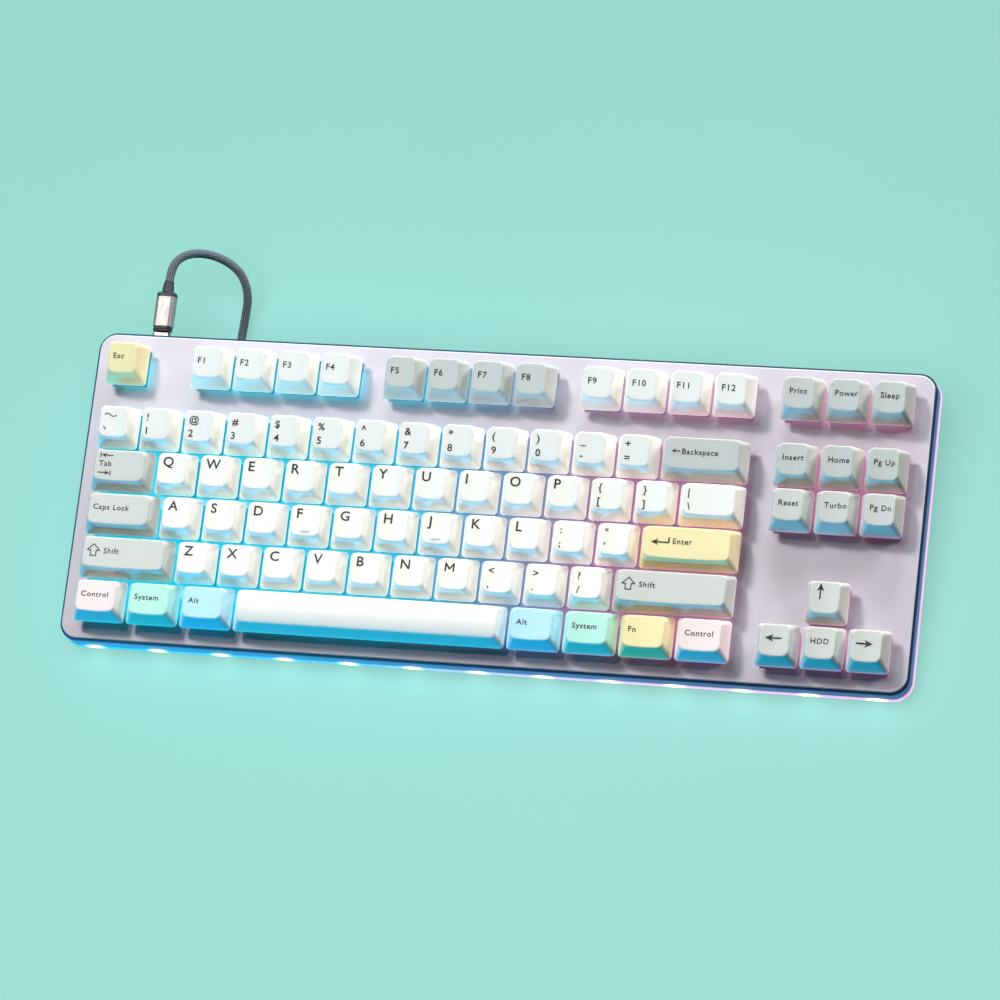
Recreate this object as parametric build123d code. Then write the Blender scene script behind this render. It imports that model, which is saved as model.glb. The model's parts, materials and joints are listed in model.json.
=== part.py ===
from build123d import *
import os
from math import cos, radians, sin, tan

# A tenkeyless mechanical keyboard with 87 keys, lying on a desk.
# Millimetres. The case is drawn flat in its own frame, with the plate's top at z = 0 and the
# middle of the key field at x = y = 0, and is then tilted on its feet by case_place().

# ---- key layout -------------------------------------------------------------------------
UNIT = 19.05                    # pitch of one key
FIELD_W = 18.5 * UNIT
FIELD_D = 6.5 * UNIT
ROW_Y = [FIELD_D / 2 - UNIT * (0.5 + row + (0.5 if row else 0)) for row in range(6)]

# ---- case -------------------------------------------------------------------------------
TILT = 6.0                      # typing angle in degrees
CASE_W, CASE_D, CASE_R = 366.9, 137.0, 8.0
PLATE_T = 1.6
EDGE, COVER_EDGE = 1.4, 0.8     # chamfers round the top and round the cover's foot
WALL = 3.0
FRAME_Z = -8.5                  # lower edge of the frame's wall
COVER_TOP, COVER_Z = -11.7, -14.5
RING_OUT, RING_T = 0.4, 3.0      # the ring stands out past the walls
COVER_INSET = 0.6
FRONT_LIFT = 3.0                # gap under the front edge
BOSS_R, SCREW_R = 2.7, 1.0
HEAD_R, HEAD_T = 1.9, 1.3
BOSSES = [(sx * 178.0, y) for sx in (-1, 1) for y in (-50.0, 0.0, 50.0)]
BOSSES += [(sx * x, y) for sx in (-1, 1) for x, y in ((60.0, 38.1), (115.0, -63.0))]

# ---- circuit board, port and chip -------------------------------------------------------
BOARD_W, BOARD_D, BOARD_R = 348.0, 125.0, 3.0
BOARD_TOP, BOARD_T = -5.0, 1.6
PORT_X, PORT_Z = -156.7, -3.4
PORT_Y = (60.3, 67.6)
PORT_W, PORT_H = 8.94, 3.2
CHIP_XY, CHIP_W, CHIP_T = (-120.0, 38.1), 10.0, 1.2

# ---- switch -----------------------------------------------------------------------------
CUTOUT = 14.0                   # square hole in the plate
HOUSING_W, FLANGE_W, FLANGE_T = 13.9, 15.6, 1.0
POCKET_W, POCKET_D, POCKET_Z = 10.0, 7.0, -3.6
POST_R, POST_Z = 2.0, -8.3
UPPER_LOW_W, UPPER_TOP_W, UPPER_Z = 14.6, 9.8, 6.6
CAVITY_Z = 5.4
MOUTH_W, MOUTH_D = 7.0, 6.4
WINDOW_W, WINDOW_Y = 4.0, (3.9, 6.5)
STEM_W, STEM_D, STEM_Z = 6.6, 6.0, (0.6, 6.4)
SHOULDER_W, SHOULDER_D, SHOULDER_Z = 9.2, 4.0, (0.6, 5.0)
CROSS_W, CROSS_T, CROSS_Z = 4.0, 1.2, 10.2
SPRING_R, SPRING_WIRE = 2.15, 0.3

# ---- stabiliser, under keys two units wide and more --------------------------------------
STAB_CUT_W, STAB_CUT_D = 6.8, 12.4
STAB_Z = (-4.8, 2.5)
STAB_FLOOR = -3.8
STAB_STEM_W, STAB_STEM_D, STAB_STEM_Z = 4.2, 5.0, (0.4, 6.4)
WIRE_R, WIRE_Y, WIRE_Z = 0.8, -8.0, -2.6
LUG_Y, LUG_TOP = -9.2, -1.7     # carries the wire in front of the housing, under the plate
STAB_REACH, SPACE_REACH = 11.9, 50.0

# ---- keycap -----------------------------------------------------------------------------
KEY_GAP = 0.9                   # between the skirts of two neighbours
CAP_Z = 5.8                     # lower edge above the plate
CAP_WALL = 1.4
CAP_TOP_NARROWER = 5.95         # top against base, side to side
CAP_TOP_Y = (-5.5, 7.6)         # front and back of the top on a base of +-9.075
CAP_R, CAP_TOP_R = 1.6, 2.4
DISH = 0.7
SLOT_W, SLOT_T, SLOT_DEPTH = 4.06, 1.26, 3.8
CAP_POST_R, CAP_POST_Z = 2.75, 6.8
SPACE_CROWN_R = 24.0
# height of the top's front and back edge over the skirt, per row of keys
CAP_RISE = [(8.5, 9.7), (8.5, 9.7), (7.9, 8.1), (7.8, 7.5), (7.6, 7.0), (7.6, 7.0)]

# ---- cord: plug, braided cable, coil and far plug ----------------------------------------
TIP_W, TIP_T, TIP_Y = 8.3, 2.5, (61.5, 70.5)
COLLAR_Y, SLEEVE_Y, ENDCAP_Y, RELIEF_Y = 70.5, 72.5, 86.3, 88.2
SLEEVE_W, SLEEVE_T = 8.8, 5.6
CABLE_D = 3.8
RELIEF_LENGTH = 4.9
COIL_XY = (-101.3, 38.0)
COIL_IN, COIL_OUT, COIL_H = 12.4, 29.9, 7.8
TIE_W, TIE_T, TIE_GAP = 10.0, 0.6, 0.1
FAR_PLUG = (-40.0, 30.5, 3.8)   # where the cable meets the far plug's body
FAR_BODY, FAR_TIP = (24.0, 15.0, 7.6), (12.0, 12.0, 4.5)
LOOP_POINTS = [
    (-156.7, 92.49, 30.93), (-156.7, 99.1, 31.62), (-153.9, 105.0, 30.3), (-148.2, 108.8, 27.2),
    (-138.8, 109.3, 22.4), (-129.6, 104.8, 17.6), (-126.4, 96.6, 11.8), (-127.7, 88.0, 7.2),
    (-129.0, 79.6, 3.8), (-129.8, 71.4, 2.1), (-130.0, 62.5, 1.9), (-129.8, 51.5, 1.9),
    (-129.3, 40.0, 1.9),
]
TAIL_POINTS = [
    (-87.3, 13.75, 5.8), (-78.0, 19.0, 5.5), (-68.5, 25.8, 4.4), (-57.5, 30.5, 3.8),
    (-46.0, 30.5, 3.8),
]

# ---- feet, in the frame of the desk -------------------------------------------------------
FRONT_FOOT = (40.0, 9.0, 150.0, -58.0)      # length, depth, +-x, y
REAR_FOOT = (36.0, 14.0, 154.0, 52.0)


def key_list():
    """Every key as (name, row, left edge in units, width in units)."""
    keys = [("esc", 0, 0.0, 1.0)]
    for start, first in ((2.0, 1), (6.5, 5), (11.0, 9)):
        keys += [(f"f{first + i}", 0, start + i, 1.0) for i in range(4)]
    for row, names in ((0, "print power sleep"), (1, "insert home pgup"), (2, "reset turbo pgdn")):
        keys += [(name, row, 15.5 + i, 1.0) for i, name in enumerate(names.split())]
    rows = (
        (1, 0.0, "grave 1 2 3 4 5 6 7 8 9 0 minus equal"),
        (2, 1.5, "q w e r t y u i o p bracket_left bracket_right"),
        (3, 1.75, "a s d f g h j k l semicolon quote"),
        (4, 2.25, "z x c v b n m comma period slash"),
    )
    for row, start, names in rows:
        keys += [(name, row, start + i, 1.0) for i, name in enumerate(names.split())]
    keys += [
        ("backspace", 1, 13.0, 2.0), ("tab", 2, 0.0, 1.5), ("backslash", 2, 13.5, 1.5),
        ("caps_lock", 3, 0.0, 1.75), ("enter", 3, 12.75, 2.25),
        ("left_shift", 4, 0.0, 2.25), ("right_shift", 4, 12.25, 2.75), ("up", 4, 16.5, 1.0),
        ("left_control", 5, 0.0, 1.25), ("left_system", 5, 1.25, 1.25), ("left_alt", 5, 2.5, 1.25),
        ("space", 5, 3.75, 6.25), ("right_alt", 5, 10.0, 1.25), ("right_system", 5, 11.25, 1.25),
        ("fn", 5, 12.5, 1.25), ("right_control", 5, 13.75, 1.25),
        ("left", 5, 15.5, 1.0), ("down", 5, 16.5, 1.0), ("right", 5, 17.5, 1.0),
    ]
    return keys


# Keys that share a node, because a part holds at most 60: the switch matrix's columns and the
# short blocks. Every other key has a node of its own.
KEY_GROUPS = {
    "keys_1_q_a_z": "grave 1 q a z",
    "keys_2_w_s_x": "2 w s x",
    "keys_3_e_d_c": "3 e d c",
    "keys_4_r_f_v": "4 r f v",
    "keys_5_t_g_b": "5 t g b",
    "keys_6_y_h_n": "6 y h n",
    "keys_7_u_j_m": "7 u j m",
    "keys_8_i_k_comma": "8 i k comma",
    "keys_9_o_l_period": "9 o l period",
    "keys_0_p_semicolon_slash": "0 p semicolon slash",
    "keys_minus_bracket_quote": "minus bracket_left quote",
    "keys_equal_bracket": "equal bracket_right",
    "keys_f1_to_f4": "f1 f2 f3 f4",
    "keys_f5_to_f8": "f5 f6 f7 f8",
    "keys_f9_to_f12": "f9 f10 f11 f12",
    "keys_print_power_sleep": "print power sleep",
    "keys_insert_home_pgup": "insert home pgup",
    "keys_reset_turbo_pgdn": "reset turbo pgdn",
}


def key_centre(key):
    name, row, left, width = key
    return (left + width / 2) * UNIT - FIELD_W / 2, ROW_Y[row]


def stab_reach(key):
    """Distance of a wide key's stabilisers from its middle, or None."""
    name, row, left, width = key
    if width < 2:
        return None
    return SPACE_REACH if name == "space" else STAB_REACH


def lift():
    return FRONT_LIFT - COVER_Z * cos(radians(TILT)) + CASE_D / 2 * sin(radians(TILT))


def case_place():
    """Tilt the flat case and stand it on its feet, centred front to back."""
    t = radians(TILT)
    front = -CASE_D / 2 * cos(t)
    rear = (CASE_D / 2 - COVER_INSET) * cos(t) - COVER_Z * sin(t)
    return Pos(0, -(front + rear) / 2, lift()) * Rot(TILT, 0, 0)


def slab(w, d, r, z0, z1):
    return Pos(0, 0, z0) * extrude(RectangleRounded(w, d, r), z1 - z0)


def block(x, y, z):
    """A box from three (low, high) pairs."""
    low = (x[0], y[0], z[0])
    return Pos(*low) * Box(x[1] - x[0], y[1] - y[0], z[1] - z[0], align=(Align.MIN,) * 3)


def column(r, z0, z1):
    return Pos(0, 0, z0) * Cylinder(r, z1 - z0, align=(Align.CENTER, Align.CENTER, Align.MIN))


def copies(shape, places):
    return [Pos(x, y, 0) * shape for x, y in places]


def cut_all(body, tools):
    return body.cut(*tools)


# ---- case -------------------------------------------------------------------------------
def top_frame(keys):
    shell = slab(CASE_W, CASE_D, CASE_R, FRAME_Z, 0)
    shell = chamfer(shell.faces().sort_by(Axis.Z)[-1].edges(), EDGE)
    shell -= slab(CASE_W - 2 * WALL, CASE_D - 2 * WALL, CASE_R - WALL, FRAME_Z - 1, -PLATE_T)
    boss = column(BOSS_R, COVER_TOP, -PLATE_T)
    shell = shell.fuse(*copies(boss, BOSSES)).solid()
    hole = block((-CUTOUT / 2, CUTOUT / 2), (-CUTOUT / 2, CUTOUT / 2), (-PLATE_T - 1, 1))
    stab_hole = block((-STAB_CUT_W / 2, STAB_CUT_W / 2), (-STAB_CUT_D / 2, STAB_CUT_D / 2),
                      (-PLATE_T - 1, 1))
    tools = copies(hole, [key_centre(key) for key in keys]) + copies(stab_hole, stab_places(keys))
    tools += copies(column(SCREW_R + 0.05, COVER_TOP - 1, -PLATE_T - 1), BOSSES)
    opening = block((-4.8, 4.8), (CASE_D / 2 - WALL - 1, CASE_D / 2 + 1),
                    (PORT_Z - 1.75, PORT_Z + 1.75))
    tools.append(Pos(PORT_X, 0, 0) * opening)
    return [cut_all(shell, tools).solid()]


def light_diffuser():
    w, d, r = CASE_W + 2 * RING_OUT, CASE_D + 2 * RING_OUT, CASE_R + RING_OUT
    ring = slab(w, d, r, COVER_TOP, FRAME_Z)
    return [ring - slab(w - 2 * RING_T, d - 2 * RING_T, r - RING_T, COVER_TOP - 1, FRAME_Z + 1)]


def bottom_cover():
    inset = 2 * COVER_INSET
    cover = slab(CASE_W - inset, CASE_D - inset, CASE_R - COVER_INSET, COVER_Z, COVER_TOP)
    cover = chamfer(cover.faces().sort_by(Axis.Z)[0].edges(), COVER_EDGE)
    recess = column(HEAD_R + 0.2, COVER_Z - 1, COVER_Z + HEAD_T + 0.3)
    recess += column(SCREW_R + 0.15, COVER_Z, COVER_TOP + 1)
    return [cut_all(cover, copies(recess, BOSSES)).solid()]


def case_screws():
    screw = column(HEAD_R, COVER_Z + 0.3, COVER_Z + 0.3 + HEAD_T)
    screw += column(SCREW_R, COVER_Z + HEAD_T, -PLATE_T - 2)
    screw -= column(0.7, COVER_Z, COVER_Z + 0.9)
    return copies(screw, BOSSES)


def circuit_board(keys):
    board = slab(BOARD_W, BOARD_D, BOARD_R, BOARD_TOP - BOARD_T, BOARD_TOP)
    hole = column(POST_R + 0.05, BOARD_TOP - BOARD_T - 1, BOARD_TOP + 1)
    relief = column(BOSS_R + 0.8, BOARD_TOP - BOARD_T - 1, BOARD_TOP + 1)
    tools = copies(hole, [key_centre(key) for key in keys])
    tools += copies(relief, [place for place in BOSSES if abs(place[0]) < BOARD_W / 2])
    return [cut_all(board, tools).solid()]


def controller_chip():
    z1 = BOARD_TOP - BOARD_T
    half = CHIP_W / 2
    body = block((-half, half), (-half, half), (z1 - CHIP_T, z1))
    body = chamfer(body.edges().filter_by(Axis.Z), 0.5)
    return [Pos(*CHIP_XY, 0) * body]


def usb_port():
    half_w, half_h = PORT_W / 2, PORT_H / 2
    shell = block((-half_w, half_w), PORT_Y, (-half_h, half_h))
    shell = fillet(shell.edges().filter_by(Axis.Y), half_h - 0.05)
    mouth = block((-4.25, 4.25), (PORT_Y[0] + 0.8, PORT_Y[1] + 1), (-1.33, 1.33))
    mouth = fillet(mouth.edges().filter_by(Axis.Y), 1.28)
    return [Pos(PORT_X, 0, PORT_Z) * (shell - mouth)]


def key_leds(keys):
    led = block((-1.6, 1.6), (4.0, 6.2), (BOARD_TOP, BOARD_TOP + 1.1))
    led = chamfer(led.faces().sort_by(Axis.Z)[-1].edges(), 0.3)
    return copies(led, [key_centre(key) for key in keys])


# ---- switches ---------------------------------------------------------------------------
def light_window(z0, z1):
    return block((-WINDOW_W / 2, WINDOW_W / 2), WINDOW_Y, (z0, z1))


def switch_lower_housing():
    half, flange = HOUSING_W / 2, FLANGE_W / 2
    body = block((-half, half), (-half, half), (BOARD_TOP, 0))
    body += block((-flange, flange), (-flange, flange), (0, FLANGE_T))
    body += column(POST_R, POST_Z, BOARD_TOP)
    pocket = block((-POCKET_W / 2, POCKET_W / 2), (-POCKET_D / 2, POCKET_D / 2),
                   (POCKET_Z, FLANGE_T + 1))
    return body - pocket - light_window(BOARD_TOP - 1, FLANGE_T + 1)


def switch_upper_housing():
    low = Pos(0, 0, FLANGE_T) * RectangleRounded(UPPER_LOW_W, UPPER_LOW_W, 0.8)
    top = Pos(0, 0, UPPER_Z) * RectangleRounded(UPPER_TOP_W, UPPER_TOP_W, 0.8)
    body = loft([low.face(), top.face()], ruled=True)
    body -= block((-POCKET_W / 2, POCKET_W / 2), (-POCKET_D / 2, POCKET_D / 2), (0, CAVITY_Z))
    body -= block((-MOUTH_W / 2, MOUTH_W / 2), (-MOUTH_D / 2, MOUTH_D / 2), (0, UPPER_Z + 1))
    return body - light_window(0, UPPER_Z + 1)


def cross(width, thickness, z0, z1):
    arm = block((-width / 2, width / 2), (-thickness / 2, thickness / 2), (z0, z1))
    return arm + Rot(0, 0, 90) * arm


def switch_stem():
    body = block((-STEM_W / 2, STEM_W / 2), (-STEM_D / 2, STEM_D / 2), STEM_Z)
    body += block((-SHOULDER_W / 2, SHOULDER_W / 2), (-SHOULDER_D / 2, SHOULDER_D / 2), SHOULDER_Z)
    body += cross(CROSS_W, CROSS_T, STEM_Z[1], CROSS_Z)
    return body - column(SPRING_R + 0.25, 0, SHOULDER_Z[1])


def switch_spring():
    spring = column(SPRING_R, POCKET_Z, SHOULDER_Z[1])
    return spring - column(SPRING_R - SPRING_WIRE, POCKET_Z - 1, SHOULDER_Z[1] + 1)


# ---- stabilisers ------------------------------------------------------------------------
def stab_places(keys):
    places = []
    for key in keys:
        reach = stab_reach(key)
        if reach:
            x, y = key_centre(key)
            places += [(x - reach, y), (x + reach, y)]
    return places


def stab_housing():
    body = block((-3.3, 3.3), (-6.1, 6.1), (STAB_Z[0], 0))
    body += block((-3.8, 3.8), (-6.6, 6.6), (0, 0.8))
    body += block((-3.0, 3.0), (-4.0, 4.0), (0.8, STAB_Z[1]))
    body -= block((-2.4, 2.4), (-2.8, 2.8), (STAB_FLOOR, STAB_Z[1] + 1))
    body += block((-3.3, 3.3), (LUG_Y, -6.1), (STAB_Z[0], LUG_TOP))
    groove = WIRE_R + 0.15
    return body - block((-4, 4), (WIRE_Y - groove, WIRE_Y + groove), (WIRE_Z - groove, 0))


def stabiliser_housings(keys):
    """Each wide key's two housings and the wire that joins them under the plate."""
    pieces = copies(stab_housing(), stab_places(keys))
    for key in keys:
        reach = stab_reach(key)
        if reach:
            x, y = key_centre(key)
            wire = Rot(0, 90, 0) * Cylinder(WIRE_R, 2 * reach + 5)
            pieces.append(Pos(x, y + WIRE_Y, WIRE_Z) * wire)
    return pieces


def stab_stem():
    body = block((-STAB_STEM_W / 2, STAB_STEM_W / 2), (-STAB_STEM_D / 2, STAB_STEM_D / 2),
                 STAB_STEM_Z)
    return body + cross(CROSS_W, CROSS_T, STAB_STEM_Z[1], CROSS_Z)


# ---- keycaps ----------------------------------------------------------------------------
def top_plane(row):
    """The plane of a cap's top, before it is dished, and its depth from front to back."""
    front, back = CAP_RISE[row]
    depth = CAP_TOP_Y[1] - CAP_TOP_Y[0]
    middle = (0, sum(CAP_TOP_Y) / 2, CAP_Z + (front + back) / 2)
    slope = (back - front) / depth
    return Plane(origin=middle, x_dir=(1, 0, 0), z_dir=(0, -slope, 1)), depth


def cap_shell(row, width, convex):
    base_w, base_d = width * UNIT - KEY_GAP, UNIT - KEY_GAP
    plane, top_d = top_plane(row)
    top_w = base_w - CAP_TOP_NARROWER
    base = Pos(0, 0, CAP_Z) * RectangleRounded(base_w, base_d, CAP_R)
    top = plane * RectangleRounded(top_w, top_d, CAP_TOP_R)
    outer = loft([base.face(), top.face()], ruled=True)
    if convex:
        crown = plane * (Pos(0, 0, -SPACE_CROWN_R) * Rot(0, 90, 0)
                         * Cylinder(SPACE_CROWN_R, base_w + 2))
        outer &= crown
    else:
        dish_w = top_w - 0.6
        radius = (dish_w ** 2 / 4 + DISH ** 2) / (2 * DISH)
        outer -= plane * (Pos(0, 0, radius - DISH) * Rot(90, 0, 0) * Cylinder(radius, 2 * UNIT))
    ceiling = plane.origin.Z - (1.2 if convex else DISH + 1.4)
    rise = (ceiling - CAP_Z) / (plane.origin.Z - CAP_Z)
    inner_w = base_w - rise * CAP_TOP_NARROWER - 2 * CAP_WALL
    front = -base_d / 2 + rise * (CAP_TOP_Y[0] + base_d / 2) + CAP_WALL
    back = base_d / 2 + rise * (CAP_TOP_Y[1] - base_d / 2) - CAP_WALL
    low = Pos(0, 0, CAP_Z - 0.01) * Rectangle(base_w - 2 * CAP_WALL, base_d - 2 * CAP_WALL)
    high = Pos(0, (front + back) / 2, ceiling) * Rectangle(inner_w, back - front)
    return outer - loft([low.face(), high.face()], ruled=True), ceiling


def keycap(row, width, convex=False, homing=False, posts=(0,)):
    shell, ceiling = cap_shell(row, width, convex)
    post = column(CAP_POST_R, CAP_POST_Z, ceiling + 0.3)
    slot = cross(SLOT_W, SLOT_T, CAP_POST_Z - 1, CAP_POST_Z + SLOT_DEPTH)
    for x in posts:
        shell += Pos(x, 0, 0) * post
    for x in posts:
        shell -= Pos(x, 0, 0) * slot
    if homing:
        plane, depth = top_plane(row)
        bar = Box(4.0, 0.7, 0.9)
        shell += plane * (Pos(0, -depth / 2 + 2.2, -DISH) * bar)
    return shell.solid()


def key_pieces(key, made):
    """A key's cap, switch stem and stabiliser stems, each its own solid."""
    name, row, left, width = key
    reach = stab_reach(key)
    posts = (0,) if reach is None else (-reach, 0, reach)
    kind = (CAP_RISE[row], width, name == "space", name in ("f", "j"))
    if kind not in made:
        made[kind] = keycap(row, width, name == "space", name in ("f", "j"), posts)
    pieces = [made[kind], made["stem"]]
    pieces += [Pos(x, 0, 0) * made["stab_stem"] for x in posts if x]
    x, y = key_centre(key)
    return [Pos(x, y, 0) * piece for piece in pieces]


# ---- feet -------------------------------------------------------------------------------
def feet(length, depth, x, y):
    """A pair of feet between the desk and the tilted underside of the case."""
    below = case_place() * (Pos(0, 0, COVER_Z - 50) * Box(2 * CASE_W, 2 * CASE_D, 100))
    foot = extrude(RectangleRounded(length, depth, 3.0), lift())
    return [(Pos(side * x, y, 0) * foot & below).solid() for side in (-1, 1)]


# ---- cord -------------------------------------------------------------------------------
def along_y(w, t, y0, y1, r):
    """A rounded bar along Y at the port's height."""
    bar = block((-w / 2, w / 2), (y0, y1), (-t / 2, t / 2))
    return Pos(PORT_X, 0, PORT_Z) * fillet(bar.edges().filter_by(Axis.Y), r)


def usb_plug_tip():
    return [along_y(TIP_W, TIP_T, TIP_Y[0], TIP_Y[1], TIP_T / 2 - 0.02)]


def usb_plug_sleeve():
    collar = along_y(SLEEVE_W - 0.8, SLEEVE_T - 0.8, COLLAR_Y, SLEEVE_Y, 1.6)
    sleeve = along_y(SLEEVE_W, SLEEVE_T, SLEEVE_Y, ENDCAP_Y, 2.0)
    end = along_y(SLEEVE_W - 0.2, SLEEVE_T - 0.2, ENDCAP_Y, RELIEF_Y, 1.9)
    return [(collar + sleeve + end).solid()]


def strain_relief():
    cone = Cone(2.75, 2.35, RELIEF_LENGTH, align=(Align.CENTER, Align.CENTER, Align.MIN))
    return [Pos(PORT_X, RELIEF_Y, PORT_Z) * Rot(-90, 0, 0) * cone]


def cable_tube(name, points):
    """A round tube of straight runs joined by arcs as large as the runs allow."""
    route = [Vector(*point) for point in points]
    radii = []
    for before, corner, after in zip(route, route[1:], route[2:]):
        half_turn = radians((corner - before).get_angle(after - corner)) / 2
        shorter = min((corner - before).length, (after - corner).length)
        radii.append(0.45 * shorter / tan(half_turn))
    print(name, "radii", [round(radius, 1) for radius in radii])
    path = FilletPolyline(*route, radius=radii)
    section = Plane(origin=route[0], z_dir=route[1] - route[0]) * Circle(CABLE_D / 2)
    tube = sweep(section, path=path)
    print(name, "length", round(path.length, 1), "volume against section times length",
          round(tube.volume / (section.area * path.length), 4))
    return tube.solid()


def usb_cable():
    return [cable_tube("loop", LOOP_POINTS), cable_tube("tail", TAIL_POINTS)]


def cable_coil():
    """The outer shape of the put-away turns, drawn in a little where the tie passes under it."""
    ring = column(COIL_OUT, 0, COIL_H) - column(COIL_IN, -1, COIL_H + 1)
    ring = fillet(ring.edges(), 1.5)
    half = TIE_W / 2 + TIE_GAP
    ring -= block((0, COIL_OUT + 1), (-half, half), (-1, TIE_T + TIE_GAP))
    return [Pos(*COIL_XY, 0) * ring]


def cable_tie():
    """A strap round the coil's turns, on the side of the far plug."""
    x = (COIL_IN - 1.3, COIL_OUT + TIE_GAP)
    half, top = TIE_W / 2, COIL_H + TIE_T + 2 * TIE_GAP
    strap = block((x[0] - TIE_T, x[1] + TIE_T), (-half, half), (0, top))
    strap = fillet(strap.edges().filter_by(Axis.Y), 0.5)
    strap -= block(x, (-half - 1, half + 1), (TIE_T, top - TIE_T))
    return [Pos(*COIL_XY, 0) * strap]


def far_plug():
    x, y, z = FAR_PLUG
    length, width, height = FAR_BODY
    body = Box(length, width, height, align=(Align.MIN, Align.CENTER, Align.CENTER))
    body = fillet(body.edges().filter_by(Axis.X), 2.0)
    cone = Cone(2.2, 2.8, x - TAIL_POINTS[-1][0], align=(Align.CENTER, Align.CENTER, Align.MIN))
    collar = Pos(TAIL_POINTS[-1][0] - x, 0, 0) * Rot(0, 90, 0) * cone
    return [Pos(x, y, z) * (body + collar).solid()]


def far_plug_tip():
    x, y, z = FAR_PLUG
    length, width, height = FAR_TIP
    wall = 0.4
    tip = Box(length, width, height, align=(Align.MIN, Align.CENTER, Align.CENTER))
    tip -= Pos(1, 0, 0) * Box(length, width - 2 * wall, height - 2 * wall,
                              align=(Align.MIN, Align.CENTER, Align.CENTER))
    tongue = Pos(0.5, 0, 0.8) * Box(length - 1.5, width - 2 * wall, 1.6,
                                    align=(Align.MIN, Align.CENTER, Align.CENTER))
    return [Pos(x + FAR_BODY[0], y, z) * (tip + tongue).solid()]


# ---- assembly ---------------------------------------------------------------------------
def flat_nodes(keys):
    """The nodes drawn in the case's own frame."""
    centres = [key_centre(key) for key in keys]
    nodes = {
        "top_frame": top_frame(keys),
        "light_diffuser": light_diffuser(),
        "bottom_cover": bottom_cover(),
        "case_screws": case_screws(),
        "circuit_board": circuit_board(keys),
        "controller_chip": controller_chip(),
        "usb_port": usb_port(),
        "key_leds": key_leds(keys),
        "switch_lower_housings": copies(switch_lower_housing(), centres),
        "switch_upper_housings": copies(switch_upper_housing(), centres),
        "switch_springs": copies(switch_spring(), centres),
        "stabiliser_housings": stabiliser_housings(keys),
        "usb_plug_tip": usb_plug_tip(),
        "usb_plug_sleeve": usb_plug_sleeve(),
        "strain_relief": strain_relief(),
    }
    made = {"stem": switch_stem(), "stab_stem": stab_stem()}
    group_of = {name: node for node, names in KEY_GROUPS.items() for name in names.split()}
    for key in keys:
        node = group_of.get(key[0], "key_" + key[0])
        nodes.setdefault(node, []).extend(key_pieces(key, made))
    return nodes


def desk_nodes():
    """The nodes drawn in the desk's frame."""
    return {
        "front_feet": feet(*FRONT_FOOT),
        "rear_feet": feet(*REAR_FOOT),
        "usb_cable": usb_cable(),
        "cable_coil": cable_coil(),
        "cable_tie": cable_tie(),
        "far_plug": far_plug(),
        "far_plug_tip": far_plug_tip(),
    }


def main():
    os.makedirs("parts", exist_ok=True)
    place = case_place()
    nodes = {}
    for name, solids in flat_nodes(key_list()).items():
        nodes[name] = [place * solid for solid in solids]
    nodes.update(desk_nodes())
    for name, solids in nodes.items():
        shape = solids[0] if len(solids) == 1 else Compound(children=solids)
        export_step(shape, f"parts/{name}.step")
    print(len(nodes), "nodes")


main()
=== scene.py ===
import json
from math import ceil, cos, pi, radians, sin, sqrt

import bpy
from mathutils import Matrix, Quaternion, Vector


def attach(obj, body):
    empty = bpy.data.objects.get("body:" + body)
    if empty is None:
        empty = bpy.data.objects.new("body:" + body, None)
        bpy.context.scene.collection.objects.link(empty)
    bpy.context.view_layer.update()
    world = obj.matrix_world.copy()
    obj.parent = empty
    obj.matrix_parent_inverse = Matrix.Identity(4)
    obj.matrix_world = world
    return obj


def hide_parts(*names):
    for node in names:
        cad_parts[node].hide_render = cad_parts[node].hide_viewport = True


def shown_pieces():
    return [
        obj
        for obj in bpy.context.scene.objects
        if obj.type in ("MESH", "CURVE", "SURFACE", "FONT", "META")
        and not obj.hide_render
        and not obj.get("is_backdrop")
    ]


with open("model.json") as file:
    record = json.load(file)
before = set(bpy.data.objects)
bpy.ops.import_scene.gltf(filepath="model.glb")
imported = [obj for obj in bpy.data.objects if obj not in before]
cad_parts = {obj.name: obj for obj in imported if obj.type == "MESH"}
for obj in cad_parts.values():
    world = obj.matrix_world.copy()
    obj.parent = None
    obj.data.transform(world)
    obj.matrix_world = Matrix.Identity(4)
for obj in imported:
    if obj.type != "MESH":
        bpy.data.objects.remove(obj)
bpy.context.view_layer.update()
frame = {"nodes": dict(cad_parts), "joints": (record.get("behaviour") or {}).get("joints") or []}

MM = 0.001

# ---- key field, as in the CAD ----
UNIT = 19.05
FIELD_W, FIELD_D = 18.5 * UNIT, 6.5 * UNIT
ROW_Y = [FIELD_D / 2 - UNIT * (0.5 + row + (0.5 if row else 0)) for row in range(6)]
KEY_GAP = 0.9
CAP_Z = 5.8  # height of the caps' lower edges above the plate
CAP_WALL, CAP_TOP_WALL, SPACE_TOP_WALL = 1.4, 1.4, 1.2
CAP_TOP_NARROWER = 5.95  # a cap's top against its foot
CAP_TOP_Y = (-5.5, 7.6)  # front and back of a cap's top
CAP_R, CAP_TOP_R, CAP_INNER_R = 1.6, 2.4, 0.5
DISH, DISH_NARROWER = 0.7, 0.6  # depth of the dish, and its width against the top's
SPACE_CROWN_R = 24.0
# How far a top's front and back edges rise over the cap's foot, row by row from the back.
CAP_RISE = [(8.5, 9.7), (8.5, 9.7), (7.9, 8.1), (7.8, 7.5), (7.6, 7.0), (7.6, 7.0)]
CAP_POST_R, CAP_POST_Z = 2.75, 6.8
STAB_REACH, SPACE_REACH = 11.9, 50.0
CROSS_W, CROSS_T, CROSS_Z = 4.0, 1.2, 10.2
POST_SIDES = 20
POST_STEP, POST_FOOT_R = 0.3, 2.5  # a post's foot: its height, and a little narrower
CROSS_CUT, SLIDER_CUT = 0.1, 0.3  # bevels
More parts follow.
